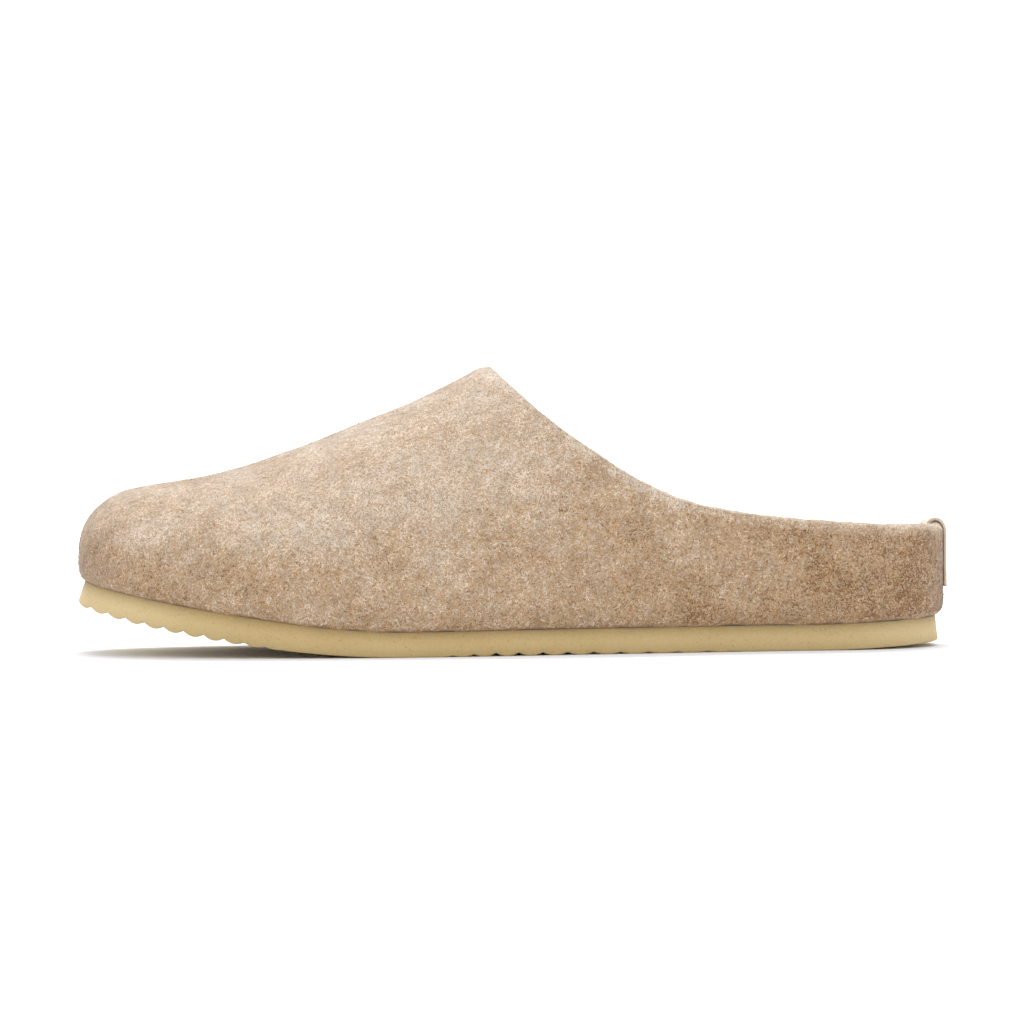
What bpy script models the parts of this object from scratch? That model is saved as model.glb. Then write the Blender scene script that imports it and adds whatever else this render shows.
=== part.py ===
"""Felted wool mule slipper, left foot, standing empty on its sole.

Four pieces: a foam outsole with a scalloped edge, a hollow felt upper, a shaped insole and a
heel tab folded over the collar. The toe points to -X, the outer side of the foot is at -Y and
the floor is z = 0. Sizes below are in millimetres; MM turns them into metres as meshes are made.
"""

import math

import bpy
import numpy as np

MM = 0.001
GAP = 0.3
SHARP_DEGREES = 35
# Fineness of the curves that are worked out and then sampled
DENSE = 500
GUIDE_STEPS = 100
HALVINGS = 45
RAY_REACH = 4.0
SLIM = 0.01

# Plan outline of the tread edge: distance s along the foot, and y across it
TOE_TIP_S = 1.0
TOE_TIP_Y = 12.0
HEEL_END_S = 281.0
HEEL_END_Y = 0.0
OUTER_SIDE = {
    "ball": (106.0, -55.0),
    "waist": (174.0, -45.5),
    "heel": (240.0, -36.5),
    "toe_power": 2.3,
    "heel_power": 2.2,
}
INNER_SIDE = {
    "ball": (84.0, 47.0),
    "waist": (168.0, 34.0),
    "heel": (241.0, 36.0),
    "toe_power": 2.6,
    "heel_power": 2.2,
}

# Outsole: a slab that lifts at the toe and a little at the heel. Thickness, columns s and thickness
SOLE_THICKNESS = [(0, 8.0), (50, 8.5), (110, 7.4), (180, 7.7), (282, 7.8)]
TOE_SPRING_HEIGHT = 16.2
TOE_SPRING_START = 108.0
TOE_SPRING_POWER = 1.7
HEEL_LIFT_HEIGHT = 1.7
HEEL_LIFT_START = 240.0
HEEL_LIFT_POWER = 1.5
TOE_FLARE = 2.2
HEEL_FLARE = 0.75
SOLE_EDGE_EASE = 0.5

# Scallops along the sole's lower edge: (first notch s, notch count, pitch, growth of pitch)
TOE_SCALLOPS = (7.8, 11, 6.55, 1.0)
ARCH_SCALLOPS = (124.6, 12, 6.55, 1.042)
STEPS_PER_SCALLOP = 8
FLAT_STEP = 5.0
END_STEPS = 9
CLOSEST_STATIONS = 0.12
# Depth of the notches along the sole, columns s and depth: none under the ball and the heel
NOTCH_DEPTH = [(0, 1.2), (50, 1.2), (60, 0.85), (74, 0.2), (80, 0.0), (118, 0.0), (125, 0.45), (138, 1.05),
               (155, 0.95), (170, 0.75), (190, 0.45), (212, 0.35), (226, 0.0), (282, 0.0)]

# Felt upper
FELT_THICKNESS = 4.5
TOE_BULGE = 2.1
HEEL_BULGE = 2.6
BULGE_HEIGHT = 6.0
FEATHER_INSET = 0.4
TOE_ROUND_LENGTH = 22.0
TOE_ROUND_POWER = 2.5
# Crown of the closed form, columns s, z. Behind the throat it is the wall's imaginary top.
CROWN = [(0, 51.4), (22, 54.0), (44, 57.4), (68, 64.1), (91, 72.9), (115, 82.5), (136, 93.2),
         (162, 106.0), (202, 120.0), (287, 126.0)]
# Section shape, columns s, ridge y, power across, power upward
SECTIONS = [(0, 12.0, 2.4, 2.3), (42, 9.0, 2.4, 2.2), (92, 6.5, 2.2, 1.9), (135, 5.0, 2.0, 1.65),
            (182, 2.0, 2.0, 1.8), (232, 0.0, 2.0, 2.0), (287, 0.0, 2.0, 2.0)]
# Collar edge seen from the side, columns s, z
COLLAR = [(136.0, 93.2), (141.5, 87.4), (147.8, 81.3), (153.4, 75.9), (168.4, 64.5), (183.4, 54.6),
          (198.4, 47.7), (213.5, 44.2), (239.8, 41.1), (270.0, 39.2), (287.0, 39.2)]
UPPER_COLUMNS = 96
WALL_ROWS = 15
BEND_WEIGHT = 26.0
ROLL_ROWS = 3
RIM_STEPS = 5
SPINE_FROM, SPINE_TO = 50.0, 238.0

# Insole: edge height, middle height and the rise under the arch of the foot
INSOLE_EDGE = 5.4
INSOLE_MIDDLE = 3.6
ARCH_RISE = 1.4
ARCH_CENTRE, ARCH_HALF_LENGTH = 167.0, 52.0
INSOLE_GAP = 0.4
INSOLE_STATIONS = 30
INSOLE_ACROSS = 8

# Heel tab: a leather strip from the back of the heel, over the collar, to the inside
TAB_WIDTH = 17.0
TAB_THICKNESS = 1.0
TAB_LOW_OUTSIDE = 19.0
TAB_LOW_INSIDE = 22.0
TAB_GAP = 0.25
# How far the tab's bend stands higher over the rim than a bend that follows it
TAB_RISE = 0.8
TAB_ACROSS = 6
TAB_LEG_STEPS = 4
TAB_BEND_STEPS = 8


def through(rows, s, column=1):
    """A smooth curve through a table's rows at s: cubic pieces with the slopes of a monotone curve."""
    table = np.array(rows, float)
    x, y = table[:, 0], table[:, column]
    s = np.clip(np.asarray(s, float), x[0], x[-1])
    step = np.diff(x)
    slope = np.diff(y) / step
    tangent = np.zeros(len(x))
    tangent[0], tangent[-1] = slope[0], slope[-1]
    same_way = slope[:-1] * slope[1:] > 0
    both = np.where(same_way, slope[:-1] + slope[1:], 1.0)
    tangent[1:-1] = np.where(same_way, 2 * slope[:-1] * slope[1:] / both, 0.0)
    i = np.clip(np.searchsorted(x, s, side="right") - 1, 0, len(step) - 1)
    t = (s - x[i]) / step[i]
    rise = tangent[i] * step[i]
    fall = tangent[i + 1] * step[i]
    bend = 3 * (y[i + 1] - y[i]) - 2 * rise - fall
    twist = 2 * (y[i] - y[i + 1]) + rise + fall
    return y[i] + rise * t + bend * t**2 + twist * t**3


def side_outline(side):
    """(s, y) points of one side of the plan outline, from the toe tip to the heel end."""
    ball_s, ball_y = side["ball"]
    heel_s, heel_y = side["heel"]
    turn = np.linspace(0, math.pi / 2, DENSE)
    toe_bend = 2 / side["toe_power"]
    toe_s = TOE_TIP_S + (ball_s - TOE_TIP_S) * (1 - np.cos(turn) ** toe_bend)
    toe_y = TOE_TIP_Y + (ball_y - TOE_TIP_Y) * np.sin(turn) ** toe_bend
    waist_s, waist_y = side["waist"]
    mid_s = np.linspace(ball_s, heel_s, DENSE)
    mid_y = hermite_side(mid_s, (ball_s, ball_y), (waist_s, waist_y), (heel_s, heel_y))
    heel_bend = 2 / side["heel_power"]
    heel_round_s = heel_s + (HEEL_END_S - heel_s) * np.sin(turn) ** heel_bend
    heel_round_y = HEEL_END_Y + (heel_y - HEEL_END_Y) * np.cos(turn) ** heel_bend
    s = np.concatenate([toe_s, mid_s[1:], heel_round_s[1:]])
    y = np.concatenate([toe_y, mid_y[1:], heel_round_y[1:]])
    return s, y


def hermite_side(s, ball, waist, heel):
    """y along the side of the foot: level at ball and heel, with one smooth waist between them."""
    (bs, by), (ws, wy), (hs, hy) = ball, waist, heel
    falls_through = (wy - by) * (hy - wy) > 0
    waist_slope = (hy - by) / (hs - bs) if falls_through else 0.0
    front, length = s <= ws, np.where(s <= ws, ws - bs, hs - ws)
    t = np.where(front, s - bs, s - ws) / length
    start, end = np.where(front, by, wy), np.where(front, wy, hy)
    start_slope = np.where(front, 0.0, waist_slope) * length
    end_slope = np.where(front, waist_slope, 0.0) * length
    return (
        start * (1 - 3 * t**2 + 2 * t**3)
        + end * (3 * t**2 - 2 * t**3)
        + start_slope * (t - 2 * t**2 + t**3)
        + end_slope * (t**3 - t**2)
    )


def loop_of(outward):
    """The plan outline moved outward by a distance that may vary with s, as a closed loop of (s, y)
    from the heel end along the inner side to the toe and back along the outer side."""
    outer_s, outer_y = side_outline(OUTER_SIDE)
    inner_s, inner_y = side_outline(INNER_SIDE)
    loop = np.column_stack(
        [
            np.concatenate([inner_s[::-1], outer_s[1:-1]]),
            np.concatenate([inner_y[::-1], outer_y[1:-1]]),
        ]
    )
    along = np.roll(loop, -1, axis=0) - np.roll(loop, 1, axis=0)
    along /= np.linalg.norm(along, axis=1)[:, None]
    normal = np.column_stack([along[:, 1], -along[:, 0]])
    return loop + normal * outward(loop[:, 0])[:, None]


def evenly(loop, count):
    """A closed loop's points at even steps of its length, starting at its first point."""
    closed = np.vstack([loop, loop[:1]])
    reach = np.concatenate([[0], np.cumsum(np.linalg.norm(np.diff(closed, axis=0), axis=1))])
    wanted = np.linspace(0, reach[-1], count, endpoint=False)
    return np.column_stack([np.interp(wanted, reach, closed[:, k]) for k in range(closed.shape[1])])


def sole_flare(s):
    """How far the sole's lower edge stands out past its top edge."""
    return TOE_FLARE + (HEEL_FLARE - TOE_FLARE) * np.clip(s / HEEL_END_S, 0, 1)


def crest_line(s):
    """Height of the sole's lowest surface at s, before the notches."""
    s = np.asarray(s, float)
    toe = np.clip((TOE_SPRING_START - s) / TOE_SPRING_START, 0, 1)
    heel = np.clip((s - HEEL_LIFT_START) / (HEEL_END_S - HEEL_LIFT_START), 0, 1)
    return TOE_SPRING_HEIGHT * toe**TOE_SPRING_POWER + HEEL_LIFT_HEIGHT * heel**HEEL_LIFT_POWER


def sole_top(s):
    """Height of the sole's top face at s."""
    return crest_line(s) + through(SOLE_THICKNESS, s)


def notches(scallops):
    """Stations of a run of notches, whose pitch grows by a set factor."""
    first, count, pitch, growth = scallops
    return first + np.concatenate([[0], np.cumsum(pitch * growth ** np.arange(count - 1))])


def scallop_bounds():
    """Notch stations of both runs, with one pitch more at each run's start."""
    runs = []
    for scallops in (TOE_SCALLOPS, ARCH_SCALLOPS):
        stations = notches(scallops)
        runs.append(np.concatenate([[stations[0] - scallops[2]], stations]))
    return runs


def notch_rise(s):
    """How far the tread lifts off the crest line at s: round scallops that meet in sharp notches."""
    s = np.asarray(s, float)
    rise = np.zeros_like(s)
    depth = np.interp(s, *np.array(NOTCH_DEPTH, float).T)
    for stations in scallop_bounds():
        held = (s >= stations[0]) & (s <= stations[-1])
        i = np.clip(np.searchsorted(stations, s, side="right") - 1, 0, len(stations) - 2)
        t = (s - stations[i]) / (stations[i + 1] - stations[i])
        rise = np.where(held, depth * (2 * t - 1) ** 2, rise)
    return rise


def sole_stations():
    """Stations along the sole: close together in the scallops and at the round ends."""
    toe_run, arch_run = scallop_bounds()
    parts = []
    for run in (toe_run, arch_run):
        for start, end in zip(run[:-1], run[1:]):
            parts.append(np.linspace(start, end, STEPS_PER_SCALLOP, endpoint=False))
    parts.append(np.arange(toe_run[-1], arch_run[0], FLAT_STEP))
    heel_round = OUTER_SIDE["heel"][0]
    parts.append(np.arange(arch_run[-1], heel_round, FLAT_STEP))
    ease = np.linspace(0, math.pi / 2, END_STEPS)
    parts.append(heel_round + (HEEL_END_S - heel_round) * np.sin(ease))
    parts.append(TOE_TIP_S + (toe_run[1] - TOE_TIP_S) * (1 - np.cos(ease[:-1])))
    stations = np.unique(np.round(np.concatenate(parts), 3))
    stations = stations[(stations > TOE_TIP_S) & (stations < HEEL_END_S)]
    kept = [TOE_TIP_S]
    for s in stations:
        if s - kept[-1] > CLOSEST_STATIONS:
            kept.append(s)
    return np.array(kept + [HEEL_END_S])


def mesh_object(name, points_mm, faces, material, root):
    """A mesh object from points in millimetres, smooth shaded with its sharp edges kept."""
    mesh = bpy.data.meshes.new(name)
    mesh.from_pydata((np.asarray(points_mm) * MM).tolist(), [], faces)
    mesh.validate()
    mesh.shade_smooth()
    mesh.set_sharp_from_angle(angle=math.radians(SHARP_DEGREES))
    piece = bpy.data.objects.new(name, mesh)
    piece.data.materials.append(material)
    piece.parent = root
    bpy.context.scene.collection.objects.link(piece)
    return piece


def strip_faces(first, second):
    """Quads between two closed loops of point numbers, the second above or inside the first."""
    count = len(first)
    return [
        (first[k], first[(k + 1) % count], second[(k + 1) % count], second[k])
        for k in range(count)
    ]


def outsole(material, root):
    """The sole: pairs of edge points at each station, joined across the tread and across the top."""
    stations = sole_stations()
    pairs = len(stations) - 2
    rows = []
    lows = crest_line(stations) + notch_rise(stations)
    # Each row of edge points: how far out from the tread outline, and how high, or None at the top
    edge_rows = [
        (-SOLE_EDGE_EASE * np.ones_like(stations), lows),
        (np.zeros_like(stations), lows + SOLE_EDGE_EASE),
        (-sole_flare(stations), None),
    ]
    for outward, height in edge_rows:
        ring = []
        for side, order in ((OUTER_SIDE, 1), (INNER_SIDE, -1)):
            s, y = edge_points(side, stations, outward)
            z = sole_top(s) if height is None else height
            ring.append(np.column_stack([s, y, z])[::order])
        outer, inner = ring
        rows.append(np.vstack([outer, inner[1:-1]]))
    count = len(rows[0])
    points = np.vstack(rows)
    rings = [list(range(k * count, (k + 1) * count)) for k in range(len(rows))]
    faces = []
    for lower, upper in zip(rings[:-1], rings[1:]):
        faces += strip_faces(lower, upper)
    faces += across_faces(rings[0], pairs, upward=False)
    faces += across_faces(rings[-1], pairs, upward=True)
    return mesh_object("outsole", points, faces, material, root)


def edge_points(side, stations, outward):
    """One side's (s, y) at the stations of the tread outline, moved outward in plan."""
    s, y = side_outline(side)
    along = np.gradient(np.column_stack([s, y]), axis=0)
    along /= np.linalg.norm(along, axis=1)[:, None]
    sign = np.sign(side["ball"][1])
    across = np.column_stack([-along[:, 1], along[:, 0]]) * sign
    across[0], across[-1] = (-1, 0), (1, 0)
    at = np.interp(stations, s, np.arange(len(s)))
    index = np.arange(len(s))
    point_y = np.interp(at, index, y)
    normal_s = np.interp(at, index, across[:, 0])
    normal_y = np.interp(at, index, across[:, 1])
    return stations + normal_s * outward, point_y + normal_y * outward


def across_faces(ring, pairs, upward):
    """Faces across the foot between the two sides of a ring that runs tip, outer side, heel end,
    inner side back."""
    tip, heel_end = ring[0], ring[pairs + 1]
    outer = ring[1 : pairs + 1]
    inner = ring[pairs + 2 :][::-1]
    faces = [(tip, outer[0], inner[0])]
    for k in range(pairs - 1):
        faces.append((outer[k], outer[k + 1], inner[k + 1], inner[k]))
    faces.append((outer[-1], heel_end, inner[-1]))
    return faces if upward else [face[::-1] for face in faces]


def bulge_outward(s):
    """Plan distance of the felt's widest line past the tread outline."""
    return felt_overhang(s) - sole_flare(s)


def felt_overhang(s):
    """Plan distance of the felt's widest line past the sole's top edge."""
    return TOE_BULGE + (HEEL_BULGE - TOE_BULGE) * np.clip(s / HEEL_END_S, 0, 1)


def half_plan(loop):
    """Outer and inner y of a closed plan loop as two tables over s."""
    tip = int(np.argmin(loop[:, 0]))
    end = int(np.argmax(loop[:, 0]))
    turned = np.roll(loop, -end, axis=0)
    tip = (tip - end) % len(loop)
    inner = turned[: tip + 1][::-1]
    outer = np.vstack([turned[tip:], turned[:1]])
    return outer, inner


class FeltForm:
    """The felt's outer form: at each s a section between two half widths, a ridge and a crown."""

    def __init__(self):
        self.loop = loop_of(bulge_outward)
        self.outer, self.inner = half_plan(self.loop)
        self.front = self.loop[:, 0].min()

    def wide_height(self, s):
        """Height of the widest line of the section at s."""
        return sole_top(s) + BULGE_HEIGHT

    def crown(self, s):
        """Height of the section's crown at s, rounded down to the widest line at the toe."""
        line = through(CROWN, s)
        base = self.wide_height(s)
        back = np.clip(1 - (s - self.front) / TOE_ROUND_LENGTH, 0, 1)
        return base + (line - base) * (1 - back**TOE_ROUND_POWER) ** (1 / TOE_ROUND_POWER)

    def value(self, points):
        """Under 1 inside the form, 1 on it, above 1 outside it, for points at or over the widest line."""
        s, y, z = points[..., 0], points[..., 1], points[..., 2]
        ridge = through(SECTIONS, s, 1)
        outer = np.interp(s, self.outer[:, 0], self.outer[:, 1], left=np.nan, right=np.nan)
        inner = np.interp(s, self.inner[:, 0], self.inner[:, 1], left=np.nan, right=np.nan)
        ridge = np.clip(ridge, outer + SLIM, inner - SLIM)
        half = np.where(y < ridge, ridge - outer, inner - ridge)
        base = self.wide_height(s)
        height = np.maximum(self.crown(s) - base, SLIM)
        across = (np.abs(y - ridge) / np.maximum(half, SLIM)) ** through(SECTIONS, s, 2)
        upward = (np.clip(z - base, 0, None) / height) ** through(SECTIONS, s, 3)
        return np.nan_to_num(across + upward, nan=np.inf)

    def meet(self, origins, targets):
        """Where rays from inside the form, towards targets, leave it."""
        near = np.zeros(origins.shape[:-1])
        far = np.full(origins.shape[:-1], RAY_REACH)
        for _ in range(HALVINGS):
            middle = (near + far) / 2
            inside = self.value(origins + (targets - origins) * middle[..., None]) < 1
            near = np.where(inside, middle, near)
            far = np.where(inside, far, middle)
        return origins + (targets - origins) * near[..., None]

    def spine(self, points):
        """The point of the form's inner spine that faces each point."""
        s = np.clip(points[..., 0], SPINE_FROM, SPINE_TO)
        return np.stack([s, through(SECTIONS, s, 1), self.wide_height(s)], axis=-1)

    def back_of_heel(self, y, z):
        """s of the form's back at each y across the heel, at height z."""
        start = np.stack([np.full_like(y, SPINE_TO), y, np.full_like(y, z)], axis=-1)
        return self.meet(start, start + (HEEL_END_S - SPINE_TO, 0, 0))[..., 0]

    def collar_loop(self, count):
        """The collar edge on the form: from the heel along the inner side to the throat and back."""
        back = self.back_of_heel(np.array([HEEL_END_Y]), through(COLLAR, HEEL_END_S))[0]
        turn = np.linspace(0, math.pi, DENSE)
        throat = COLLAR[0][0]
        s = throat + (back - throat) * (1 + np.cos(turn)) / 2
        z = through(COLLAR, s)
        sides = []
        for side in (self.outer, self.inner):
            edge = np.interp(s, side[:, 0], side[:, 1])
            spine = np.column_stack([s, through(SECTIONS, s, 1), z])
            spine[:, 1] = np.clip(spine[:, 1], SLIM - np.abs(edge), np.abs(edge) - SLIM)
            sides.append(self.meet(spine, np.column_stack([s, edge, z])))
        outer, inner = sides
        return evenly(np.vstack([inner, outer[::-1][1:-1]]), count)


def upper_outer_rows(form):
    """Rows of points of the felt's outer face, from its widest line up to the start of the rim, and
    the way the face runs as it meets the collar."""
    wide = evenly(form.loop, UPPER_COLUMNS)
    wide = np.column_stack([wide, form.wide_height(wide[:, 0])])
    collar = form.collar_loop(UPPER_COLUMNS)
    steps = np.linspace(0, 1, GUIDE_STEPS)[:, None, None]
    guide = wide + (collar - wide) * steps
    surface = form.meet(form.spine(guide), guide)
    surface[0], surface[-1] = wide, collar
    step = np.diff(surface, axis=0)
    length = np.linalg.norm(step, axis=2)
    way = step / length[..., None]
    bend = np.zeros_like(length)
    bend[1:] = np.linalg.norm(np.diff(way, axis=0), axis=2)
    reach = np.vstack([np.zeros((1, UPPER_COLUMNS)), length.cumsum(axis=0)])
    # Rows are spread by length and by how far the face has turned, so the round toe gets enough
    weight = np.vstack([np.zeros((1, UPPER_COLUMNS)), (length + BEND_WEIGHT * bend).cumsum(axis=0)])
    rows = np.empty((WALL_ROWS + 1, UPPER_COLUMNS, 3))
    for column in range(UPPER_COLUMNS):
        end = reach[-1, column] - FELT_THICKNESS / 2
        last = np.interp(end, reach[:, column], weight[:, column])
        wanted = np.linspace(0, last, WALL_ROWS + 1)
        for axis in range(3):
            rows[:, column, axis] = np.interp(wanted, weight[:, column], surface[:, column, axis])
    rise = collar - rows[-1]
    return rows, rise / np.linalg.norm(rise, axis=1)[:, None]


def normals_of(rows):
    """Outward unit normals of a grid of rows that closes along each row."""
    up = np.gradient(rows, axis=0)
    along = np.roll(rows, -1, axis=1) - np.roll(rows, 1, axis=1)
    normal = np.cross(along, up)
    return normal / np.linalg.norm(normal, axis=2)[..., None]


def upper(form, material, root):
    """The felt shell: outer face, round rim at the collar, inner face and the edge on the sole."""
    wall, rise = upper_outer_rows(form)
    normal = normals_of(wall)
    half = FELT_THICKNESS / 2
    inner_wall = wall - normal * FELT_THICKNESS
    middle = (wall[-1] + inner_wall[-1]) / 2
    rim = []
    for angle in np.linspace(0, math.pi, RIM_STEPS + 1)[1:-1]:
        rim.append(middle + half * (math.cos(angle) * normal[-1] + math.sin(angle) * rise))
    feather = wall[0] - normal[0] * (felt_overhang(wall[0][:, :1]) + FEATHER_INSET)
    roll = []
    for turn in np.linspace(0, math.pi / 2, ROLL_ROWS + 1)[:-1]:
        row = feather + (wall[0] - feather) * math.sin(turn)
        low = sole_top(row[:, 0]) + GAP
        row[:, 2] = low + (wall[0][:, 2] - low) * (1 - math.cos(turn))
        roll.append(row)
    foot = inner_wall[0].copy()
    foot[:, 2] = sole_top(foot[:, 0]) + GAP
    rows = roll + list(wall) + rim + list(inner_wall[::-1]) + [foot]
    points = np.vstack(rows)
    rings = [list(range(k * UPPER_COLUMNS, (k + 1) * UPPER_COLUMNS)) for k in range(len(rows))]
    faces = []
    for lower, higher in zip(rings, rings[1:] + rings[:1]):
        faces += strip_faces(lower, higher)
    return mesh_object("upper", points, faces, material, root)


def insole(material, root):
    """The insole: fitted inside the felt, with a cupped heel, an arch rise and an even underside."""
    inward = FELT_THICKNESS + INSOLE_GAP
    outer, inner = half_plan(loop_of(lambda s: bulge_outward(s) - inward))
    first, last = outer[0, 0], outer[-1, 0]
    turn = np.linspace(0, math.pi, INSOLE_STATIONS + 1)[1:-1]
    stations = first + (last - first) * (1 - np.cos(turn)) / 2
    across = np.linspace(-1, 1, INSOLE_ACROSS + 1)
    top = []
    for s in stations:
        low_y = np.interp(s, outer[:, 0], outer[:, 1])
        high_y = np.interp(s, inner[:, 0], inner[:, 1])
        y = (low_y + high_y) / 2 + (high_y - low_y) / 2 * across
        arch = math.exp(-(((s - ARCH_CENTRE) / ARCH_HALF_LENGTH) ** 2))
        lift = INSOLE_MIDDLE + (INSOLE_EDGE - INSOLE_MIDDLE) * np.abs(across) ** 3
        lift += ARCH_RISE * arch * np.clip(across, 0, 1) ** 2
        top.append(np.column_stack([np.full_like(y, s), y, sole_top(s) + GAP + lift]))
    top = np.array(top)
    base = top.copy()
    base[..., 2] = sole_top(base[..., 0]) + GAP
    tips = [end_tip(outer[0]), end_tip(outer[-1])]
    return closed_slab("insole", top, base, tips, material, root)


def end_tip(plan_point):
    """The tip of the insole at one end: its top and its underside."""
    s, y = plan_point
    low = float(sole_top(s)) + GAP
    return np.array([[s, y, low + INSOLE_EDGE], [s, y, low]])


def layer_faces(length, width):
    """Faces of two grids of points, one layer over the other, and of the two long sides between."""
    over = length * width
    faces = []
    for i in range(length - 1):
        for k in range(width - 1):
            a, b = i * width + k, (i + 1) * width + k
            faces.append((a, b, b + 1, a + 1))
            faces.append((over + a, over + a + 1, over + b + 1, over + b))
        a, b = i * width, (i + 1) * width
        faces.append((a, over + a, over + b, b))
        a, b = a + width - 1, b + width - 1
        faces.append((a, b, over + b, over + a))
    return faces


def closed_slab(name, top, base, tips, material, root):
    """A slab from two grids of points, closed round its sides and to one tip at each end."""
    stations, width = top.shape[:2]
    points = np.vstack([top.reshape(-1, 3), base.reshape(-1, 3), tips[0], tips[1]])
    under = stations * width
    toe_top, toe_low, heel_top, heel_low = range(2 * under, 2 * under + 4)
    faces = layer_faces(stations, width)
    last = (stations - 1) * width
    for k in range(width - 1):
        faces.append((toe_top, k, k + 1))
        faces.append((toe_low, under + k + 1, under + k))
        faces.append((heel_top, last + k + 1, last + k))
        faces.append((heel_low, under + last + k, under + last + k + 1))
    faces.append((toe_top, toe_low, under, 0))
    faces.append((toe_top, width - 1, under + width - 1, toe_low))
    faces.append((heel_top, last, under + last, heel_low))
    faces.append((heel_top, heel_low, under + last + width - 1, last + width - 1))
    return mesh_object(name, points, faces, material, root)


def heel_tab(form, material, root):
    """The tab: a flat strip that follows the back of the heel, turns over the rim and goes inside."""
    across = np.linspace(-TAB_WIDTH / 2, TAB_WIDTH / 2, TAB_ACROSS + 1)
    rim_z = float(through(COLLAR, HEEL_END_S)) - FELT_THICKNESS / 2
    layers = []
    for off in (TAB_GAP, TAB_GAP + TAB_THICKNESS):
        rows = []
        for outward, z in tab_path(off, rim_z):
            s = form.back_of_heel(across, min(z, rim_z))
            lean = np.gradient(s, across)
            length = np.sqrt(1 + lean**2)
            turned_y = across - outward * lean / length
            rows.append(np.column_stack([s + outward / length, turned_y, np.full_like(across, z)]))
        layers.append(np.array(rows))
    return strip_solid("heel_tab", layers[0], layers[1], material, root)


def tab_path(off, rim_z):
    """(distance out from the felt's back, height) along one face of the tab, from its outer end."""
    half = FELT_THICKNESS / 2
    path = [(off, z) for z in np.linspace(TAB_LOW_OUTSIDE, rim_z, TAB_LEG_STEPS, endpoint=False)]
    for angle in np.linspace(0, math.pi, TAB_BEND_STEPS + 1):
        outward = (half + off) * math.cos(angle) - half
        path.append((outward, rim_z + (half + off + TAB_RISE) * math.sin(angle)))
    inside = np.linspace(rim_z, TAB_LOW_INSIDE, TAB_LEG_STEPS + 1)[1:]
    return path + [(-FELT_THICKNESS - off, z) for z in inside]


def strip_solid(name, inside, outside, material, root):
    """A closed strip between two grids of points of the same shape."""
    length, width = inside.shape[:2]
    points = np.vstack([inside.reshape(-1, 3), outside.reshape(-1, 3)])
    over = length * width
    faces = layer_faces(length, width)
    last = (length - 1) * width
    for k in range(width - 1):
        faces.append((k, k + 1, over + k + 1, over + k))
        faces.append((last + k, over + last + k, over + last + k + 1, last + k + 1))
    return mesh_object(name, points, faces, material, root)


def finish(name, colour, roughness):
    """A plain material of one colour."""
    material = bpy.data.materials.new(name)
    material.use_nodes = True
    shader = material.node_tree.nodes["Principled BSDF"]
    shader.inputs["Base Color"].default_value = (*colour, 1.0)
    shader.inputs["Roughness"].default_value = roughness
    shader.inputs["Metallic"].default_value = 0.0
    material.diffuse_color = (*colour, 1.0)
    return material


def stand_on_origin(root, pieces):
    """Moves the shoe so that the middle of its footprint's box is the origin, with the floor at 0."""
    points = [np.array(vertex.co) for piece in pieces for vertex in piece.data.vertices]
    low, high = np.min(points, axis=0), np.max(points, axis=0)
    root.location = (-(low[0] + high[0]) / 2, -(low[1] + high[1]) / 2, 0.0)


def main():
    for old in list(bpy.data.objects):
        bpy.data.objects.remove(old, do_unlink=True)
    root = bpy.data.objects.new("slipper", None)
    bpy.context.scene.collection.objects.link(root)
    felt = finish("beige_felt", (0.52, 0.38, 0.26), 0.95)
    foam = finish("sand_foam", (0.60, 0.46, 0.24), 0.7)
    footbed = finish("pale_felt", (0.58, 0.46, 0.33), 0.95)
    leather = finish("pale_leather", (0.56, 0.45, 0.30), 0.6)
    form = FeltForm()
    pieces = [
        outsole(foam, root),
        upper(form, felt, root),
        insole(footbed, root),
        heel_tab(form, leather, root),
    ]
    stand_on_origin(root, pieces)


main()
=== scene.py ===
"""Looks of the felted wool slipper: melange felt with loose strands, porous foam sole, pressed
insole and a leather heel tab, on a pale studio floor. Lengths are metres, as in the frame."""

import math

import bmesh
import bpy
import numpy as np
from mathutils import Matrix, Vector
from mathutils.bvhtree import BVHTree


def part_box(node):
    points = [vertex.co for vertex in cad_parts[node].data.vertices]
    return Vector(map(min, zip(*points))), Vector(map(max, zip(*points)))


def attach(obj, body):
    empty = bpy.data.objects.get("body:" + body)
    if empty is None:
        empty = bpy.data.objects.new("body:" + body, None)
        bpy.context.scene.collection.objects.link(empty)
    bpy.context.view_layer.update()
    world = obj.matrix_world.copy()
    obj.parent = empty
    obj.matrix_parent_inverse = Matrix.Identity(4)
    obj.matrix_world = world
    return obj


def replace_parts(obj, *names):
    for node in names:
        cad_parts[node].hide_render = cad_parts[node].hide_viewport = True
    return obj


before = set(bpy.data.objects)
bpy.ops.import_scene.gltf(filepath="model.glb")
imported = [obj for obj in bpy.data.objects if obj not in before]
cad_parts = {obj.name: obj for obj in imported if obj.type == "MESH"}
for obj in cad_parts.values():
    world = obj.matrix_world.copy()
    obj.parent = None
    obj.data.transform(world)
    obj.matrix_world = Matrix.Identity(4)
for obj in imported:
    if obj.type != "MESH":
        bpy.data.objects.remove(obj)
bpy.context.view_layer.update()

MM = 0.001


def srgb(red, green, blue):
    """A colour named by its 0 to 255 screen values, as the shader's linear colour."""
    shares = [value / 255 for value in (red, green, blue)]
    return tuple(v / 12.92 if v <= 0.04045 else ((v + 0.055) / 1.055) ** 2.4 for v in shares)


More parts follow.
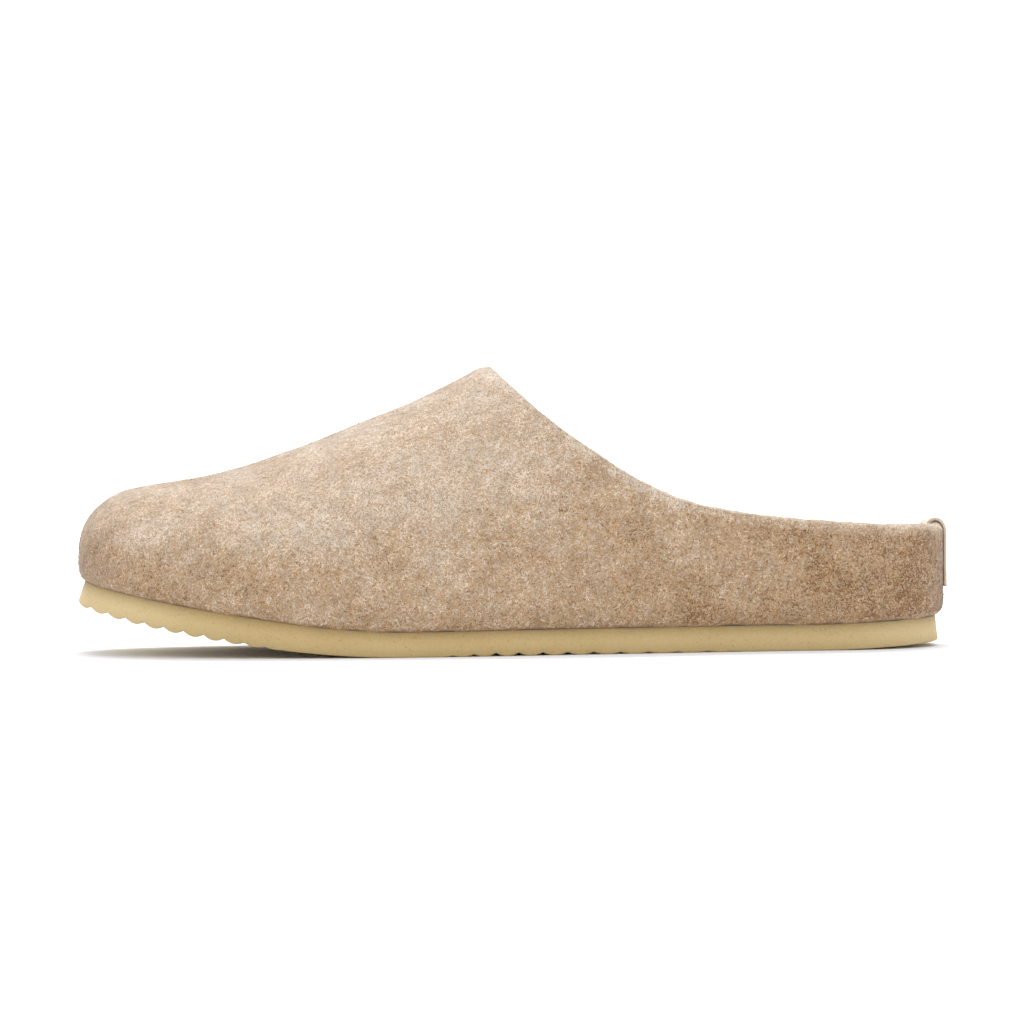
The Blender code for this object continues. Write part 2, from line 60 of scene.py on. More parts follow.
# Wool: ground colours under the strands, and the strands, columns name, colour, share
GROUND_LIGHT = srgb(204, 181, 154)
GROUND_MID = srgb(178, 146, 110)
GROUND_DARK = srgb(140, 104, 66)
STRAND_TONES = [
    ("brown", srgb(126, 90, 56), 0.09),
    ("ochre", srgb(172, 134, 92), 0.17),
    ("beige", srgb(182, 160, 134), 0.12),
    ("sand", srgb(188, 158, 124), 0.20),
    ("oat", srgb(198, 174, 147), 0.21),
    ("pale", srgb(219, 204, 187), 0.21),
]
STRAND_COUNT = 400000
STRAND_LENGTH = (0.5 * MM, 1.3 * MM)
STRAND_WIDTH = (0.2 * MM, 0.36 * MM)
STRAND_CURL = 0.7
STRAND_SEED = 11
# Most strands lie along the felt and rise over it by this much, over this stretch of a half wave
LYING_LIFT = (0.03 * MM, 0.18 * MM)
ARCH_START, ARCH_LENGTH = 0.15, 0.7
# The rest stand loose: what share of all, and of those near the seam over the sole, how high, how bent
LOOSE_SHARE = 0.03
SEAM_LOOSE_SHARE = 0.25
LOOSE_LIFT = (0.25 * MM, 0.65 * MM)
LOOSE_BEND = 1.5
# How far off the sole the seam's share is full and ends, and how far round the tab no strand is loose
SEAM_LOOSE_FULL, SEAM_LOOSE_END = 0.8 * MM, 2.5 * MM
TAB_CLEAR = 2 * MM
# Outside and inside are told apart by this axis along the shoe, and by the heel's back from this x on
AXIS_HEIGHT = 30 * MM
HEEL_BACK_X, HEEL_BACK_LENGTH = 95 * MM, 20 * MM
# Inside, strands thin out from the throat into the toe: where, over what length, least and most weight
DEEP_X, DEEP_LENGTH = -60 * MM, 70 * MM
DEEP_WEIGHT, THROAT_WEIGHT = 0.06, 0.75
# No strands grow on what looks down at least this far, below this height
UNDERSIDE_DOWN, UNDERSIDE_TOP_Z = -0.5, 40 * MM
# Clumps and clouds of tone, columns how far towards pale against a chance spread of 1, size, seed
TONE_PATCHES = [(0.3, 2.4 * MM, 21), (0.3, 22 * MM, 22)]
# How far other causes move a strand towards pale or dark, and how far up the pale top's faces look; the
# top's paleness is painted light from above
TOP_PAINTED_PALE = 1.5
TOP_FROM, TOP_FULL = 0.05, 0.5
RIM_WORN_AND_LIT_PALE = 1.8
ENDS_DARK = 0.55
# Where the felt is palest along the shoe, and how far off it the ends count in full
PALE_X, ENDS_REACH = -35 * MM, 100 * MM
# The collar's rim, pale from wear and a painted highlight: faces that look up, behind the throat, and how
# far down its band is full and ends
RIM_UP, THROAT_X = 0.85, -5 * MM
RIM_FULL, RIM_END = 1.8 * MM, 4 * MM
# Painted shade: the felt's turned-under lower edge, in the seam over the sole, is dark in stretches, up to
# these heights of the shoe and where it looks down between these amounts
SEAM_PAINTED_SHADE = srgb(98, 72, 48)
SEAM_FULL_Z, SEAM_END_Z = 28 * MM, 34 * MM
SEAM_DOWN_FROM, SEAM_DOWN_FULL = 0.6, 0.95

# Random fields: how many waves make one, and how far their lengths spread round the wavelength
FIELD_WAVES = 28
FIELD_SPREAD = (0.7, 1.5)
# Soft unevenness of the felt, columns wavelength, height
FELT_WAVES = [(16 * MM, 0.12 * MM), (6.5 * MM, 0.08 * MM), (3.2 * MM, 0.06 * MM)]
# The felt swells up under the tab's bend: how far, and to where on either side of its middle
TAB_SWELL = 0.8 * MM
TAB_SWELL_FULL, TAB_SWELL_END = 6 * MM, 9.5 * MM
# The throat's peak is worn round: from how far under its tip, and how much height is left of that
PEAK_ROUND, PEAK_LEFT = 1.9 * MM, 0.95 * MM
# Soft hollows (and ridges, with a minus) in the felt's sides, columns x, z, half length, half height, depth
FELT_HOLLOWS = [
    (58 * MM, 42 * MM, 26 * MM, 13 * MM, 0.9 * MM),
    (28 * MM, 60 * MM, 16 * MM, 12 * MM, 0.6 * MM),
    (-78 * MM, 33 * MM, 22 * MM, 10 * MM, -0.5 * MM),
    (-20 * MM, 22 * MM, 40 * MM, 6 * MM, 0.4 * MM),
]

# Sole foam, insole and tab
FOAM_LIGHT = srgb(203, 181, 134)
FOAM_DARK = srgb(185, 158, 106)
FOAM_PORE = srgb(142, 113, 68)
# Painted shade: close under the felt the foam takes this share of a darker tone, standing in for the felt's
# shadow, fading out over the height
FOAM_PAINTED_SHADE = srgb(154, 124, 72)
FOAM_PAINTED_SHADE_SHARE = 0.06
FOAM_PAINTED_SHADE_HEIGHT = 7 * MM
# How far from the shoe's middle the foam's paler ends begin, and are full; the darker middle is painted
# shade under the felt's overhang
FOAM_UNSHADED_ENDS_FROM, FOAM_UNSHADED_ENDS_FULL = 60 * MM, 125 * MM
# The sole's top edge lies within the first distance of the felt, and comes up by the second to meet it
FOAM_TOP_REACH = 1.2 * MM
FOAM_MEETS_FELT = 0.3 * MM
INSOLE_LIGHT = srgb(206, 186, 160)
INSOLE_DARK = srgb(178, 154, 126)
LEATHER_LIGHT = srgb(206, 194, 176)
LEATHER_DARK = srgb(188, 172, 150)
LEATHER_BACK = srgb(178, 152, 104)
TAB_THICKNESS = 1.0 * MM

# Copies of the solids: points joined within a distance, triangles joined into flats within an angle
JOIN_WITHIN = 0.001 * MM
FLAT_DEGREES = 30
# Finer copies: how often each face is split, and rounds of fitting to the solid's own points
FINER_LEVELS = 2
FIT_ROUNDS = 3
# Edges sharper than these degrees stay sharp, and finer copies hold them by this much
SOLE_SHARP = 55
UPPER_SHARP, UPPER_HOLD = 60, 0.9
INSOLE_SHARP, INSOLE_HOLD = 50, 0.5
TAB_SHARP, TAB_HOLD = 50, 0.8
# Least length to divide by
TINY = 1e-12

# Camera: how the photograph was taken, and the studio round the shoe
CAMERA_DISTANCE = 950 * MM
CAMERA_HEIGHT = 44.4 * MM
CAMERA_BEHIND_TOE = 142.3 * MM
SHOE_PLANE_Y = 4.08 * MM
CAMERA_LENS = 102.58
CAMERA_SENSOR = 36.0
CAMERA_REACH = 20.0
CAMERA_ROLL = math.radians(-0.6)
FLOOR_TONE = (0.785, 0.8, 0.83)
FLOOR_BEND_STEPS = 12
WORLD_STRENGTH = 1.14
# Soft lights, columns name, place, size, power, what it faces
SOFT_LIGHTS = [
    ("top_light", (0.05, -0.1, 1.35), 0.9, 3, (0, 0, 0.04)),
    ("wall_light", (0, 1.2, 2.2), 1.5, 130, (0, 3, 0.4)),
]


class Wire:
    """A shader socket that can be used in Python sums. Each sum adds a Math node."""

    def __init__(self, finish, socket):
        self.finish = finish
        self.socket = socket

    def math(self, operation, first, second):
        return self.finish.node("ShaderNodeMath", {"operation": operation}, {0: first, 1: second})

    def __add__(self, other):
        return self.math("ADD", self, other)

    def __radd__(self, other):
        return self.math("ADD", other, self)

    def __sub__(self, other):
        return self.math("SUBTRACT", self, other)

    def __rsub__(self, other):
        return self.math("SUBTRACT", other, self)

    def __mul__(self, other):
        return self.math("MULTIPLY", self, other)

    def __rmul__(self, other):
        return self.math("MULTIPLY", other, self)


class Finish:
    """A material in the making."""

    def __init__(self, name):
        self.material = bpy.data.materials.new(name)
        self.material.use_nodes = True
        self.tree = self.material.node_tree
        self.tree.nodes.clear()
        self.place = self.node("ShaderNodeTexCoord", out="Object")

    def node(self, kind, settings=None, sockets=None, out=0):
        """A node with its settings, then its sockets' values or links, as the wire of one output."""
        made = self.tree.nodes.new(kind)
        for key, value in (settings or {}).items():
            setattr(made, key, value)
        for key, value in (sockets or {}).items():
            if isinstance(value, Wire):
                self.tree.links.new(value.socket, made.inputs[key])
            else:
                made.inputs[key].default_value = value
        return Wire(self, made.outputs[out]) if made.outputs else None

    def noise(self, size, detail=2.0, swirl=0.0):
        """Cloudy noise whose lumps are about size across, drawn out into curls by swirl."""
        sockets = {"Vector": self.place, "Scale": 1 / size, "Detail": detail, "Distortion": swirl}
        return self.node("ShaderNodeTexNoise", None, sockets)

    def cells(self, size):
        """Distance to the nearest of points that lie about size apart."""
        return self.node("ShaderNodeTexVoronoi", None, {"Vector": self.place, "Scale": 1 / size})

    def part(self, vector, axis):
        """One of a vector's three numbers."""
        return self.node("ShaderNodeSeparateXYZ", None, {0: vector}, out=axis)

    def painted(self, name):
        """A number that the piece's mesh holds at its points."""
        return self.node("ShaderNodeAttribute", {"attribute_name": name}, None, out="Fac")

    def step(self, value, low, high):
        """0 where value is under low, 1 over high, and smooth between."""
        settings = {"interpolation_type": "SMOOTHSTEP"}
        return self.node("ShaderNodeMapRange", settings, {"Value": value, "From Min": low, "From Max": high})

    def mix(self, share, first, second):
        """A colour between two colours."""
        first, second = [c if isinstance(c, Wire) else (*c, 1.0) for c in (first, second)]
        sockets = {"Factor": share, 6: first, 7: second}
        return self.node("ShaderNodeMix", {"data_type": "RGBA"}, sockets, out=2)

    def bump(self, height, distance, strength):
        """Fine relief of the surface, from a height that varies over it."""
        sockets = {"Height": height, "Distance": distance, "Strength": strength}
        return self.node("ShaderNodeBump", None, sockets)

    def surface(self, colour, roughness, normal=None, **constants):
        """Ends the material in one shader."""
        sockets = {"Base Color": colour if isinstance(colour, Wire) else (*colour, 1.0)}
        sockets["Roughness"] = roughness
        if normal:
            sockets["Normal"] = normal
        for name, value in constants.items():
            sockets[name.replace("_", " ")] = value
        shader = self.node("ShaderNodeBsdfPrincipled", None, sockets)
        self.node("ShaderNodeOutputMaterial", None, {"Surface": shader})
        return self.material


def wool_ground():
    """The felt under its loose strands: clouds, clumps and fine fibre in three wool tones, with painted
    light making faces that look up lighter and faces that look down darker, and a line of painted shade
    along the seam."""
    finish = Finish("wool_ground")
    clouds = finish.noise(24 * MM, 3.0)
    clumps = finish.noise(2.6 * MM, 3.0)
    fibre = finish.noise(0.9 * MM, 3.0, 1.6)
    up = finish.part(finish.node("ShaderNodeNewGeometry", out="Normal"), "Z")
    # Painted light: the ground turns darker on faces that look down and lighter on faces that look up
    dark = finish.step(0.15 * clouds + 0.2 * clumps + 0.65 * fibre - 0.06 * up, 0.46, 0.58)
    light = finish.step(0.2 * clumps + 0.8 * finish.noise(0.7 * MM, 3.0, 1.2) + 0.06 * up, 0.48, 0.60)
    colour = finish.mix(light, finish.mix(dark, GROUND_MID, GROUND_DARK), GROUND_LIGHT)
    # Painted shade in stretches along the seam, where the felt's edge turns under and looks down
    low_down = 1 - finish.step(finish.part(finish.place, "Z"), SEAM_FULL_Z, SEAM_END_Z)
    turned_under_shade = low_down * finish.step(0 - up, SEAM_DOWN_FROM, SEAM_DOWN_FULL)
    stretches = finish.step(finish.noise(8 * MM), 0.36, 0.6)
    colour = finish.mix(turned_under_shade * stretches, colour, SEAM_PAINTED_SHADE)
    normal = finish.bump(0.5 * clumps + 0.5 * fibre, 0.45 * MM, 0.8)
    return finish.surface(colour, 0.95, normal, Sheen_Weight=0.2, Sheen_Roughness=0.6)


def wool_strand(name, tone):
    """Loose strands of one wool tone, paler and darker in patches."""
    finish = Finish("wool_" + name)
    patches = finish.step(finish.noise(5 * MM, 2.0), 0.3, 0.7)
    darker = tuple(0.86 * c for c in tone)
    lighter = tuple(1.08 * c for c in tone)
    return finish.surface(finish.mix(patches, darker, lighter), 0.9, Sheen_Weight=0.25, Sheen_Roughness=0.5)


def sole_foam():
    """Fine-pored foam with soft tonal drift, and painted shade of the felt's overhang: paler at toe and heel
    than in the middle, and darker close under the felt.
    """
    finish = Finish("sole_foam")
    drift = finish.step(finish.noise(30 * MM, 3.0), 0.3, 0.7)
    grain = finish.noise(0.7 * MM, 2.0)
    pores = 1 - finish.step(finish.cells(1.1 * MM), 0.10, 0.26)
    chosen = finish.step(finish.noise(2.2 * MM, 1.0), 0.52, 0.62)
    pits = pores * chosen
    # Paler ends round a darker middle: painted shade under the felt's overhang
    along = finish.part(finish.place, "X")
    ends = finish.step(along * along, FOAM_UNSHADED_ENDS_FROM**2, FOAM_UNSHADED_ENDS_FULL**2)
    pale = 0.25 * drift + 0.3 * finish.step(grain, 0.3, 0.7) + 0.45 * ends
    colour = finish.mix(pale, FOAM_DARK, FOAM_LIGHT)
    colour = finish.mix(0.55 * pits, colour, FOAM_PORE)
    # Painted shade close under the felt
    painted_shade = finish.step(finish.painted("shade_under_felt"), 0.35, 1.0)
    colour = finish.mix(FOAM_PAINTED_SHADE_SHARE * painted_shade, colour, FOAM_PAINTED_SHADE)
    normal = finish.bump(grain - 1.4 * pits, 0.12 * MM, 0.6)
    return finish.surface(colour, 0.62 + 0.12 * grain, normal)


def insole_felt():
    """Pressed felt: close, fine fibre with faint clouds."""
    finish = Finish("insole_felt")
    clouds = finish.noise(18 * MM, 3.0)
    fibre = finish.noise(0.8 * MM, 4.0)
    colour = finish.mix(finish.step(0.4 * clouds + 0.6 * fibre, 0.36, 0.62), INSOLE_DARK, INSOLE_LIGHT)
    normal = finish.bump(fibre, 0.25 * MM, 0.7)
    return finish.surface(colour, 0.92, normal, Sheen_Weight=0.15, Sheen_Roughness=0.6)


def tab_leather():
    """Undyed leather with a fine pebbled grain, and a yellower back that shows at the cut edges."""
    finish = Finish("tab_leather")
    pebbles = finish.cells(0.65 * MM)
    drift = finish.noise(6 * MM, 3.0)
    colour = finish.mix(finish.step(0.5 * pebbles + 0.5 * drift, 0.25, 0.6), LEATHER_DARK, LEATHER_LIGHT)
    back = 1 - finish.step(finish.painted("off_felt"), 0.25, 0.75)
    colour = finish.mix(back, colour, LEATHER_BACK)
    normal = finish.bump(pebbles, 0.1 * MM, 0.6)
    return finish.surface(colour, 0.5 + 0.15 * drift, normal)


def floor_finish():
    """Plain pale floor paper."""
    finish = Finish("floor_paper")
    return finish.surface(FLOOR_TONE, 0.9)


def soft_field(points, wavelength, seed):
    """An even random field over points, mostly within -2 to 2, that changes over the wavelength."""
    rng = np.random.default_rng(seed)
    ways = rng.normal(size=(FIELD_WAVES, 3))
    ways /= np.linalg.norm(ways, axis=1)[:, None]
    turns = 2 * math.pi / (wavelength * rng.uniform(*FIELD_SPREAD, FIELD_WAVES))
    phases = rng.uniform(0, 2 * math.pi, FIELD_WAVES)
    waves = np.cos(points @ (ways * turns[:, None]).T + phases)
    return waves.sum(axis=1) * math.sqrt(2 / FIELD_WAVES)


def new_piece(name, mesh, material):
    """A piece of the shoe that rides with it."""
    piece = bpy.data.objects.new(name, mesh)
    bpy.context.scene.collection.objects.link(piece)
    mesh.materials.clear()
    mesh.materials.append(material)
    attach(piece, "root")
    return piece


def numbers(items, name, width, kind=np.float32):
    """One property of all of a mesh's points, faces or edges, as rows."""
    found = np.empty(len(items) * width, kind)
    items.foreach_get(name, found)
    return found.reshape(-1, width)


def copied(node, sharp_degrees, crease=0.0):
    """A copy of a solid's mesh with its points joined up, and its sharp edges marked and creased."""
    form = bmesh.new()
    form.from_mesh(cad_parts[node].data)
    bmesh.ops.remove_doubles(form, verts=form.verts, dist=JOIN_WITHIN)
    if crease:
        limits = {"angle_face_threshold": math.radians(FLAT_DEGREES), "angle_shape_threshold": math.pi}
        bmesh.ops.join_triangles(form, faces=form.faces, **limits)
        creases = form.edges.layers.float.new("crease_edge")
        for edge in form.edges:
            if edge.calc_face_angle(0.0) > math.radians(sharp_degrees):
                edge[creases] = crease
    mesh = bpy.data.meshes.new(node + "_dressed")
    form.to_mesh(mesh)
    form.free()
    mesh.shade_smooth()
    mesh.set_sharp_from_angle(angle=math.radians(sharp_degrees))
    return mesh


def smoothed(node, sharp_degrees, crease):
    """A finer copy of a solid's mesh that still passes through the solid's own points."""
    coarse = copied(node, sharp_degrees, crease)
    aims = numbers(coarse.vertices, "co", 3)
    holder = bpy.data.objects.new(node + "_coarse", coarse)
    bpy.context.scene.collection.objects.link(holder)
    finer = holder.modifiers.new("finer", "SUBSURF")
    finer.levels = FINER_LEVELS
    for attempt in range(FIT_ROUNDS):
        bpy.context.view_layer.update()
        seen = holder.evaluated_get(bpy.context.evaluated_depsgraph_get())
        mesh = bpy.data.meshes.new_from_object(seen)
        reached = numbers(mesh.vertices, "co", 3)[: len(aims)]
        if attempt < FIT_ROUNDS - 1:
            bpy.data.meshes.remove(mesh)
            moved = numbers(coarse.vertices, "co", 3) + aims - reached
            coarse.vertices.foreach_set("co", moved.ravel())
            coarse.update()
    bpy.data.objects.remove(holder)
    bpy.data.meshes.remove(coarse)
    mesh.name = node + "_dressed"
    mesh.shade_smooth()
    mesh.set_sharp_from_angle(angle=math.radians(sharp_degrees))
    return mesh


def tree_of(mesh):
    """A mesh's triangles, set up for finding the nearest place on them."""
    points, corners = triangles_of(mesh)
    return BVHTree.FromPolygons(points.tolist(), corners.tolist())


def nearest(tree, points):
    """The nearest places on a tree's mesh, the surface normals there and the distances."""
    met = [tree.find_nearest(p) for p in points.tolist()]
    return np.array([m[0] for m in met]), np.array([m[1] for m in met]), np.array([m[3] for m in met])


def ease(value, low, high):
    """0 where value is under low, 1 over high, and smooth between."""
    t = np.clip((value - low) / (high - low), 0, 1)
    return t * t * (3 - 2 * t)


def paint(mesh, name, values):
    """Holds a number at each of a mesh's points, for its material to read."""
    layer = mesh.attributes.new(name, "FLOAT", "POINT")
    layer.data.foreach_set("value", np.asarray(values, np.float32))


def uneven_felt(mesh):
    """Moves the felt's points by soft waves and the hollows of its sides, swells it under the tab and
    rounds the throat's peak."""
    points = numbers(mesh.vertices, "co", 3).astype(float)
    normals = numbers(mesh.vertices, "normal", 3).astype(float)
    height = np.zeros(len(points))
    for seed, (wavelength, size) in enumerate(FELT_WAVES):
        height += size / 2 * soft_field(points, wavelength, seed)
    out = np.clip(np.sign(points[:, 1] - SHOE_PLANE_Y) * normals[:, 1], 0, 1)
    for x, z, half_length, half_height, depth in FELT_HOLLOWS:
        along = (points[:, 0] - x) / half_length
        up = (points[:, 2] - z) / half_height
        height -= depth * out * np.exp(-(along**2) - up**2)
    tab_low, tab_high = np.array(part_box("heel_tab"))
    off_middle = np.abs(points[:, 1] - (tab_low[1] + tab_high[1]) / 2)
    at_tab = (points[:, 0] > tab_low[0]) * (1 - ease(off_middle, TAB_SWELL_FULL, TAB_SWELL_END))
    points += normals * height[:, None]
    points[:, 2] += TAB_SWELL * at_tab * np.clip(normals[:, 2], 0, 1)
    over = np.clip(points[:, 2] - (points[:, 2].max() - PEAK_ROUND), 0, None)
    points[:, 2] -= over - PEAK_LEFT * (1 - np.exp(-over / PEAK_LEFT))
    mesh.vertices.foreach_set("co", points.astype(np.float32).ravel())
    mesh.update()


def triangles_of(mesh):
    """A mesh's points, and its triangles as point numbers."""
    mesh.calc_loop_triangles()
    points = numbers(mesh.vertices, "co", 3).astype(float)
    corners = numbers(mesh.loop_triangles, "vertices", 3, np.int32)
    return points, corners


def strand_weight(middles, normals):
    """How thickly strands grow: fully outside, thinner in the depth of the toe and none underneath."""
    outward = normals[:, 1] * (middles[:, 1] - SHOE_PLANE_Y) + normals[:, 2] * (middles[:, 2] - AXIS_HEIGHT)
    heel = np.clip((middles[:, 0] - HEEL_BACK_X) / HEEL_BACK_LENGTH, 0, 1)
    outside = outward + heel * normals[:, 0] * HEEL_BACK_LENGTH > 0
    deep = np.clip((middles[:, 0] - DEEP_X) / DEEP_LENGTH, DEEP_WEIGHT, THROAT_WEIGHT)
    weight = np.where(outside, 1.0, deep)
    weight[(normals[:, 2] < UNDERSIDE_DOWN) & (middles[:, 2] < UNDERSIDE_TOP_Z)] = 0.0
    return weight


def loose_chance(roots, seam_tree):
    """How likely a strand is to stand loose: most along the seam over the sole, never under the tab."""
    off_sole = nearest(seam_tree, roots)[2]
    chance = LOOSE_SHARE + SEAM_LOOSE_SHARE * (1 - ease(off_sole, SEAM_LOOSE_FULL, SEAM_LOOSE_END))
    tab_low, tab_high = np.array(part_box("heel_tab"))
    near_tab = ((roots > tab_low - TAB_CLEAR) & (roots < tab_high + TAB_CLEAR)).all(axis=1)
    return np.where(near_tab, 0.0, chance)


def strand_paths(mesh):
    """Centre lines of the strands, hugging the felt: points and surface normals at three steps each."""
    rng = np.random.default_rng(STRAND_SEED)
    points, corners = triangles_of(mesh)
    a, b, c = points[corners[:, 0]], points[corners[:, 1]], points[corners[:, 2]]
    cross = np.cross(b - a, c - a)
    area = np.linalg.norm(cross, axis=1)
    normals = cross / np.maximum(area, TINY)[:, None]
    middles = (a + b + c) / 3
    weight = area * strand_weight(middles, normals)
    chosen = rng.choice(len(corners), STRAND_COUNT, p=weight / weight.sum())
    u, v = rng.random((2, STRAND_COUNT, 1))
    folded = u + v > 1
    u, v = np.where(folded, 1 - u, u), np.where(folded, 1 - v, v)
    roots = a[chosen] + (b - a)[chosen] * u + (c - a)[chosen] * v
    normal = normals[chosen]
    way = np.cross(normal, rng.normal(size=(STRAND_COUNT, 3)))
    way /= np.linalg.norm(way, axis=1)[:, None]
    side = np.cross(normal, way)
    length = rng.uniform(*STRAND_LENGTH, (STRAND_COUNT, 1))
    curl = rng.normal(0, STRAND_CURL, (STRAND_COUNT, 1))
    chance = loose_chance(roots, tree_of(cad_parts["outsole"].data))
    loose = rng.random((STRAND_COUNT, 1)) < chance[:, None]
    lying = rng.uniform(*LYING_LIFT, (STRAND_COUNT, 1))
    free = rng.uniform(*LOOSE_LIFT, (STRAND_COUNT, 1))
    tree = tree_of(mesh)
    steps, faces = [], []
    for t in (0.0, 0.5, 1.0):
        flat = roots + length * (way * t + side * curl * t * t)
        on, face, _ = nearest(tree, flat)
        arch = math.sin(math.pi * (ARCH_START + ARCH_LENGTH * t))
        lift = np.where(loose, free * t**LOOSE_BEND, lying * arch)
        steps.append(on + face * lift)
        faces.append(face)
    width = rng.uniform(*STRAND_WIDTH, (STRAND_COUNT, 1))
    on_rim = (normals[:, 2] > RIM_UP) & (middles[:, 0] > THROAT_X)
    off_rim = nearest(BVHTree.FromPolygons(points.tolist(), corners[on_rim].tolist()), roots)[2]
    return steps, faces, width, tone_numbers(roots, normal, off_rim, rng.normal(0, 1, STRAND_COUNT))


def tone_numbers(roots, normal, off_rim, chance):
    """Which tone each strand takes: mostly chance, in clumps and clouds, pale on top as painted light from
    above, pale along the rim from wear and a painted highlight, and dark at the ends."""
    value = chance
    for pale, size, seed in TONE_PATCHES:
        value = value + pale * soft_field(roots, size, seed)
    # Painted light: strands on faces that look up are paler
    value += TOP_PAINTED_PALE * ease(normal[:, 2], TOP_FROM, TOP_FULL)
    value -= ENDS_DARK * ((roots[:, 0] - PALE_X) / ENDS_REACH) ** 2
    # Pale rim band: wear on the felt's cut edge, with a painted highlight
    value += RIM_WORN_AND_LIT_PALE * (1 - ease(off_rim, RIM_FULL, RIM_END))
    order = np.argsort(np.argsort(value)) / len(value)
    ends = np.cumsum([share for _, _, share in STRAND_TONES])
    return np.searchsorted(ends, order)


def strand_mesh(name, steps, faces, width):
    """Spindles along the centre lines, bent at the middle, each with its own chart cell."""
    count = len(width)
    root, middle, tip = steps
    side = np.cross(faces[1], tip - root)
    side /= np.maximum(np.linalg.norm(side, axis=1), TINY)[:, None]
    rows = [root, middle - side * width / 2, middle + side * width / 2, tip]
    points = np.stack(rows, axis=1).reshape(-1, 3)
    pattern = np.array([(0, 1, 2), (1, 3, 2)])
    corners = (np.arange(count)[:, None, None] * len(rows) + pattern).reshape(-1, 3)
    mesh = bpy.data.meshes.new(name)
    mesh.vertices.add(len(points))
    mesh.vertices.foreach_set("co", points.astype(np.float32).ravel())
    mesh.loops.add(corners.size)
    mesh.loops.foreach_set("vertex_index", corners.astype(np.int32).ravel())
    mesh.polygons.add(len(corners))
    mesh.polygons.foreach_set("loop_start", np.arange(len(corners), dtype=np.int32) * 3)
    mesh.update(calc_edges=True)
    mesh.shade_smooth()
    grid = math.ceil(math.sqrt(count))
    cells = np.stack([np.arange(count) % grid, np.arange(count) // grid], axis=1)
    outline = np.array([(0.5, 0.1), (0.2, 0.5), (0.8, 0.5), (0.5, 0.9)])
    spots = ((cells[:, None, :] + outline) / grid).reshape(-1, 2)
    chart = mesh.uv_layers.new(name="OFBake")
    chart.data.foreach_set("uv", spots[corners.ravel()].astype(np.float32).ravel())
    return mesh


def felt_upper():
    """The felt shell and its loose strands, one piece for each wool tone."""
    mesh = smoothed("upper", UPPER_SHARP, UPPER_HOLD)
    uneven_felt(mesh)
    shell = new_piece("felt_upper", mesh, wool_ground())
    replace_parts(shell, "upper")
    steps, faces, width, tones = strand_paths(mesh)
    for number, (name, tone, _) in enumerate(STRAND_TONES):
        of_tone = tones == number
        strands = strand_mesh(
            "strands_" + name, [s[of_tone] for s in steps], [f[of_tone] for f in faces], width[of_tone]
        )
        new_piece("felt_strands_" + name, strands, wool_strand(name, tone))


def foam_sole():
    """The sole in its own form, its top joined to the felt. It knows how close the felt is, for the painted
    shade under it."""
    mesh = copied("outsole", SOLE_SHARP)
    points = numbers(mesh.vertices, "co", 3)
    off_felt = nearest(tree_of(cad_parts["upper"].data), points)[2]
    points[off_felt < FOAM_TOP_REACH, 2] += FOAM_MEETS_FELT
    mesh.vertices.foreach_set("co", points.ravel())
    mesh.update()
    # Painted shade: how close the felt is, for the darker band under it
    paint(mesh, "shade_under_felt", 1 - np.clip(off_felt / FOAM_PAINTED_SHADE_HEIGHT, 0, 1))
    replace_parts(new_piece("foam_sole", mesh, sole_foam()), "outsole")


def felt_insole():
    """The footbed, softened."""
    mesh = smoothed("insole", INSOLE_SHARP, INSOLE_HOLD)
    piece = new_piece("felt_insole", mesh, insole_felt())
    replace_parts(piece, "insole")


def leather_tab():
    """The tab, with its edges eased. It knows how far it is off the felt, for its two sides."""
    mesh = smoothed("heel_tab", TAB_SHARP, TAB_HOLD)
    felt = tree_of(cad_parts["upper"].data)
    off_felt = nearest(felt, numbers(mesh.vertices, "co", 3))[2]
    paint(mesh, "off_felt", np.clip((off_felt - off_felt.min()) / TAB_THICKNESS, 0, 1))
    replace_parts(new_piece("leather_tab", mesh, tab_leather()), "heel_tab")


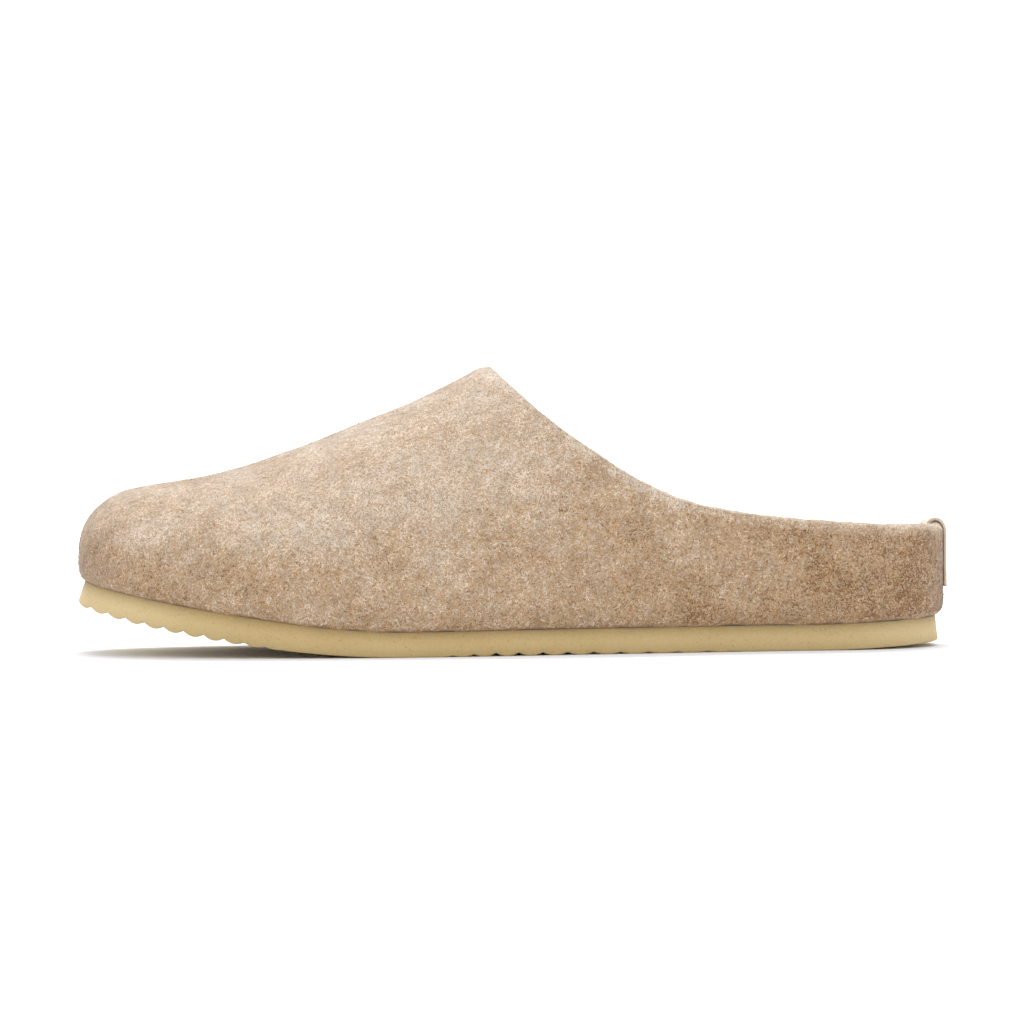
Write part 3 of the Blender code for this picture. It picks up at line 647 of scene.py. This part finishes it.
def floor_sweep():
    """A pale floor that turns up into a wall far behind the shoe."""
    width, front, bend_start, bend, height = 6.0, -3.0, 2.0, 1.0, 3.0
    line = [(front, 0.0), (bend_start, 0.0)]
    for k in range(1, FLOOR_BEND_STEPS + 1):
        angle = math.pi / 2 * k / FLOOR_BEND_STEPS
        line.append((bend_start + bend * math.sin(angle), bend * (1 - math.cos(angle))))
    line.append((bend_start + bend, height))
    points = [(x, y, z) for y, z in line for x in (-width / 2, width / 2)]
    faces = [(2 * k, 2 * k + 1, 2 * k + 3, 2 * k + 2) for k in range(len(line) - 1)]
    mesh = bpy.data.meshes.new("floor")
    mesh.from_pydata(points, [], faces)
    mesh.shade_smooth()
    mesh.materials.append(floor_finish())
    floor = bpy.data.objects.new("floor", mesh)
    bpy.context.scene.collection.objects.link(floor)


def softbox(name, place, size, power, aim):
    """A square soft light that faces aim."""
    light = bpy.data.lights.new(name, "AREA")
    light.size = size
    light.energy = power
    box = bpy.data.objects.new(name, light)
    box.location = place
    box.rotation_euler = (Vector(aim) - Vector(place)).to_track_quat("-Z", "Y").to_euler()
    bpy.context.scene.collection.objects.link(box)


def studio():
    """Even white surroundings and soft lights, shown as plain screen colours."""
    world = bpy.data.worlds.new("studio")
    world.use_nodes = True
    glow = world.node_tree.nodes["Background"].inputs
    glow["Color"].default_value = (1, 1, 1, 1)
    glow["Strength"].default_value = WORLD_STRENGTH
    bpy.context.scene.world = world
    for light in SOFT_LIGHTS:
        softbox(*light)
    bpy.context.scene.view_settings.view_transform = "Standard"


def camera():
    """Level with the shoe's side, rolled a little as the photograph is."""
    data = bpy.data.cameras.new("camera")
    data.lens = CAMERA_LENS
    data.sensor_width = CAMERA_SENSOR
    data.clip_end = CAMERA_REACH
    taken = bpy.data.objects.new("camera", data)
    facing = Matrix.Rotation(math.pi / 2, 4, "X") @ Matrix.Rotation(CAMERA_ROLL, 4, "Z")
    toe_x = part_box("outsole")[0][0]
    place = Vector((toe_x + CAMERA_BEHIND_TOE, SHOE_PLANE_Y - CAMERA_DISTANCE, CAMERA_HEIGHT))
    taken.matrix_world = Matrix.Translation(place) @ facing
    bpy.context.scene.collection.objects.link(taken)
    bpy.context.scene.camera = taken


camera()
floor_sweep()
studio()
foam_sole()
felt_upper()
felt_insole()
leather_tab()
